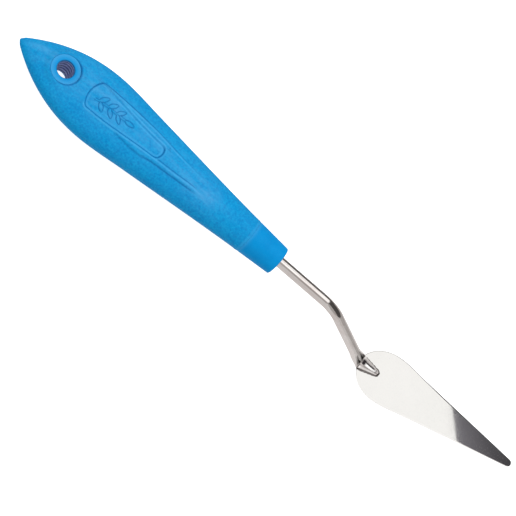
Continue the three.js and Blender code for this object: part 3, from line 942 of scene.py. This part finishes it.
def blade():
    """The sheet: flat mirror faces, a narrow ground bevel round the upper one and a blunt edge."""
    half = blade_outline(60)
    ring = np.concatenate([half, (half * (1, -1))[-2:0:-1]])
    normals = left_normals(np.roll(ring, -1, 0) - np.roll(ring, 1, 0))
    width = along(EDGE_BEVEL, ring[:, :1])
    foot = width * math.tan(BEVEL_ANGLE)
    layers = [(width, 0), (0.04, foot * 0.93), (0, foot + 0.03), (0, BLADE_THICKNESS - 0.1)]
    layers += [(0.03, BLADE_THICKNESS - 0.03), (0.1, BLADE_THICKNESS)]
    count = len(ring)
    loops = []
    for inset, drop in layers:
        loops.append(np.column_stack([ring - normals * inset, np.broadcast_to(-drop, (count, 1))]))
    points = np.concatenate(loops)
    faces = grid_faces(len(layers), count)
    last = len(points) - count
    sides = len(faces)
    for start, flip in ((0, False), (last, True)):
        for i in range(len(half) - 1):
            across = [i, i + 1, (count - i - 1) % count, (count - i) % count]
            face = [start + k for k in dict.fromkeys(across)]
            if len(face) > 2:
                faces.append(tuple(face if flip else face[::-1]))
    broad = range(sides, len(faces))
    piece = make_piece(
        "blade_sheet", points, faces, ["blade"], blade_paint(),
        blade_to_handle, sharp=11, flat=broad,
    )
    drop = -points[:, 2]
    add_attributes(piece, edge=smooth((drop - np.tile(foot[:, 0], len(layers)) + 0.02) / 0.04))


def weld():
    """The fillet that seals the tongue's foot to the blade, slightly uneven along its run."""
    tip_start = TONGUE_END - TONGUE_TIP_RADIUS
    rear = 1.2
    lean = math.atan((ROOT_HALF_WIDTH - TONGUE_TIP_RADIUS) / (tip_start - rear))
    half_widths = np.linspace(ROOT_HALF_WIDTH, TONGUE_TIP_RADIUS, 50)
    side = list(zip(np.linspace(rear, tip_start, 50), half_widths))
    for angle in np.linspace(math.pi / 2 - lean, 0, 16)[1:]:
        side.append((tip_start + TONGUE_TIP_RADIUS * math.cos(angle), TONGUE_TIP_RADIUS * math.sin(angle)))
    side = np.array(side)
    line = np.concatenate([side, (side * (1, -1))[-2::-1]])
    out = left_normals(np.gradient(line, axis=0))
    run = np.arange(len(line))
    wobble = 1 + 0.12 * np.sin(run * 0.55) + 0.08 * np.sin(run * 1.27 + 1)
    ends = between(run, 0, 5, len(line) - 1, 5)
    leg = FILLET * wobble * mix(0.3, 1, ends)
    profile = [(-0.3, GAP), (-0.3, 0.9), (0.05, 0.85), (0.25, 0.5)]
    profile += [(0.55, 0.22), (1, 0.05), (1.08, 0), (-0.3, 0)]
    rings = []
    for reach, up in profile:
        flat = line + out * (leg * reach)[:, None] + (0, TONGUE_OFFSET)
        rings.append(np.column_stack([flat, leg * up + 0.012]))
    points = np.stack(rings, 1).reshape(-1, 3)
    count = len(profile)
    faces = [face[::-1] for face in grid_faces(len(line), count)]
    faces.append(tuple(range(count)))
    faces.append(tuple(range(len(points) - count, len(points)))[::-1])
    make_piece("weld_bead", points, faces, ["weld_fillet"], weld_paint(), blade_to_handle)


# ---------- camera ----------

# Seen from over the handle's left side, in the handle's own frame.
CAMERA_TARGET = (113.48, -4.24, 0)
CAMERA_AZIMUTH = math.radians(-19.13)
CAMERA_ELEVATION = math.radians(61.02)
CAMERA_ROLL = math.radians(57.62)
CAMERA_DISTANCE = 779.8
CAMERA_LENS = 153.33


def place_camera():
    level_back = Vector((math.sin(CAMERA_AZIMUTH), -math.cos(CAMERA_AZIMUTH), 0))
    back = level_back * math.cos(CAMERA_ELEVATION) + Vector((0, 0, math.sin(CAMERA_ELEVATION)))
    level = Vector((0, 0, 1)).cross(back).normalized()
    upright = back.cross(level)
    right = level * math.cos(CAMERA_ROLL) + upright * math.sin(CAMERA_ROLL)
    up = upright * math.cos(CAMERA_ROLL) - level * math.sin(CAMERA_ROLL)
    at = Vector(CAMERA_TARGET) + back * CAMERA_DISTANCE
    turn = to_row.to_3x3().normalized() @ Matrix((right, up, back)).transposed()
    camera = bpy.data.objects.new("camera", bpy.data.cameras.new("camera"))
    bpy.context.scene.collection.objects.link(camera)
    camera.matrix_world = Matrix.Translation(to_row @ at) @ turn.to_4x4()
    camera.data.lens = CAMERA_LENS
    camera.data.sensor_width = 36
    camera.data.clip_start = 0.01
    bpy.context.scene.camera = camera
    return camera


# ---------- stage and light, in metres ----------

CARD_DISTANCE = 0.8
END_CARD_X = 0.3
END_CARD_FOOT = 0.0002
END_CARD_SPLIT = 0.12
SOFTBOX_DISTANCE = 0.9
SOFTBOX_LEAN = math.radians(11)
TABLE_DEPTH = 0.0005
FAR_TABLE_LIFT = 0.0001


def glow(name, color, strength=0, shade=None):
    """A material that only shines, with strength or with the attribute that shade names."""
    material = bpy.data.materials.new(name)
    material.use_nodes = True
    nodes, links = material.node_tree.nodes, material.node_tree.links
    nodes.remove(nodes["Principled BSDF"])
    emission = nodes.new("ShaderNodeEmission")
    set_inputs(emission, Color=(*color, 1), Strength=strength)
    if shade:
        attribute = nodes.new("ShaderNodeAttribute")
        attribute.attribute_name = shade
        links.new(attribute.outputs["Fac"], emission.inputs["Strength"])
    links.new(emission.outputs[0], nodes["Material Output"].inputs["Surface"])
    return material


def stage_sheet(name, corners, material):
    mesh = bpy.data.meshes.new(name)
    mesh.from_pydata([tuple(c) for c in corners], [], [tuple(range(len(corners)))])
    mesh.materials.append(material)
    sheet = bpy.data.objects.new(name, mesh)
    bpy.context.scene.collection.objects.link(sheet)
    return sheet


def mirrored_card(name, corners, color, strength=0, shade=None):
    """A shining studio card that the steel mirrors. It isn't seen itself, and lights or shades nothing."""
    card = stage_sheet(name, corners, glow(name, color, strength, shade))
    card.visible_camera = False
    card.visible_diffuse = False
    card.visible_shadow = False
    return card


def tent_card(name, angles, span, color, strength):
    """A long card beside the knife, between two angles from straight up towards the far side, in
    degrees about the x axis, and between two places along that axis."""
    low, high = ((CARD_DISTANCE * math.sin(a), CARD_DISTANCE * math.cos(a)) for a in np.radians(angles))
    corners = [(span[0], *low), (span[1], *low), (span[1], *high), (span[0], *high)]
    mirrored_card(name, corners, color, strength)


def end_card(name, side, height, color, strength):
    """An upright card past the blade's tip, between two places across and between two heights."""
    places = [(side[0], height[0]), (side[1], height[0]), (side[1], height[1]), (side[0], height[1])]
    mirrored_card(name, [(END_CARD_X, *place) for place in places], color, strength)


def floor_material():
    material = bpy.data.materials.new("pale_floor")
    material.use_nodes = True
    shader = material.node_tree.nodes["Principled BSDF"]
    set_inputs(shader, Base_Color=(0.5, 0.5, 0.5, 1), Roughness=1, Specular_IOR_Level=0)
    set_inputs(shader, Emission_Color=(1, 1, 1, 1), Emission_Strength=0.85)
    return material


def mirrored_in_blade(camera, reach, y, distance):
    """Where the camera's sight line is at distance past (reach, y) on the blade, which mirrors it."""
    onto = to_row @ blade_to_handle @ Vector((reach, y, 0))
    normal = (to_row.to_3x3() @ blade_to_handle.to_3x3() @ Vector((0, 0, 1))).normalized()
    sight = (onto - camera.location).normalized()
    return onto + (sight - 2 * sight.dot(normal) * normal) * distance


def light_world():
    world = bpy.data.worlds.new("studio")
    world.use_nodes = True
    set_inputs(world.node_tree.nodes["Background"], Color=(1, 1, 1, 1), Strength=1)
    bpy.context.scene.world = world


def lay_floor():
    """The floor that the camera sees, and the tone under it that the steel mirrors in its place."""
    corners = [(-4, -4), (4, -4), (4, 4), (-4, 4)]
    floor = stage_sheet("floor", [(*corner, 0) for corner in corners], floor_material())
    floor.visible_diffuse = False
    floor.visible_glossy = False
    tone = glow("table_tone", (1, 0.965, 0.95), 0.84)
    tone.cycles.emission_sampling = "NONE"
    table = stage_sheet("table_tone", [(*corner, -TABLE_DEPTH) for corner in corners], tone)
    table.visible_camera = False


def hang_softbox():
    light = bpy.data.lights.new("softbox", "AREA")
    light.shape = "RECTANGLE"
    light.size = 1.05
    light.size_y = 1.0
    light.energy = 4.6
    softbox = bpy.data.objects.new("softbox", light)
    bpy.context.scene.collection.objects.link(softbox)
    softbox.location = Matrix.Rotation(-SOFTBOX_LEAN, 3, "X") @ Vector((0.05, 0, SOFTBOX_DISTANCE))
    softbox.rotation_euler = (-SOFTBOX_LEAN, 0, 0)
    softbox.visible_camera = False
    softbox.visible_glossy = False


def set_cards():
    """What the polished rod and blade mirror: bright cards overhead, and darker ones low down."""
    dark = (1, 0.95, 0.92)
    tent_card("softbox_face", (-13, 46), (-0.6, 0.27), (1, 1, 0.99), 1.5)
    tent_card("near_card", (-94, -48), (-1.2, 0.6), (1, 0.98, 0.97), 0.82)
    tent_card("near_gap", (-48, -13), (-1.2, 0.27), dark, 0.53)
    tent_card("far_flag", (50, 90), (-0.05, 0.6), dark, 0.1)
    tent_card("far_side", (50, 90), (-1.2, -0.05), (1, 0.96, 0.94), 0.42)
    far_table = [(-0.1, 0.008), (0.04, 0.008), (0.04, 0.8), (-0.1, 0.8)]
    mirrored_card("far_table", [(*place, FAR_TABLE_LIFT) for place in far_table], dark, 0.2)
    low, high = (END_CARD_FOOT, END_CARD_SPLIT), (END_CARD_SPLIT, 0.8)
    end_card("end_side", (-0.5, -0.15), high, (1, 0.96, 0.93), 0.5)
    end_card("end_near", (-0.5, -0.05), low, (1, 0.97, 0.95), 0.72)
    end_card("end_flag", (-0.15, 0.6), high, dark, 0.09)
    end_card("end_card", (-0.05, 0.6), low, (1, 0.96, 0.93), 0.52)


def shade_tip(camera):
    """The flag that the blade's front half mirrors towards the camera: grey, then black at the tip."""
    corners = [(33.9, 11), (50.8, -11), (85, -11), (85, 11)]
    mirrored = [mirrored_in_blade(camera, reach, y, 0.45) for reach, y in corners]
    flag = mirrored_card("tip_flag", mirrored, (0.93, 0.9, 1), shade="shade")
    add_attributes(flag, shade=[0.26, 0.32, 0.01, 0])


def build_stage(camera):
    bpy.context.scene.view_settings.view_transform = "Standard"
    bpy.context.scene.view_settings.look = "None"
    light_world()
    lay_floor()
    hang_softbox()
    set_cards()
    shade_tip(camera)


# ---------- everything ----------

handle_skin()
front = collar()
eye_bush(front.data.materials[0])
shank()
blade()
weld()
build_stage(place_camera())
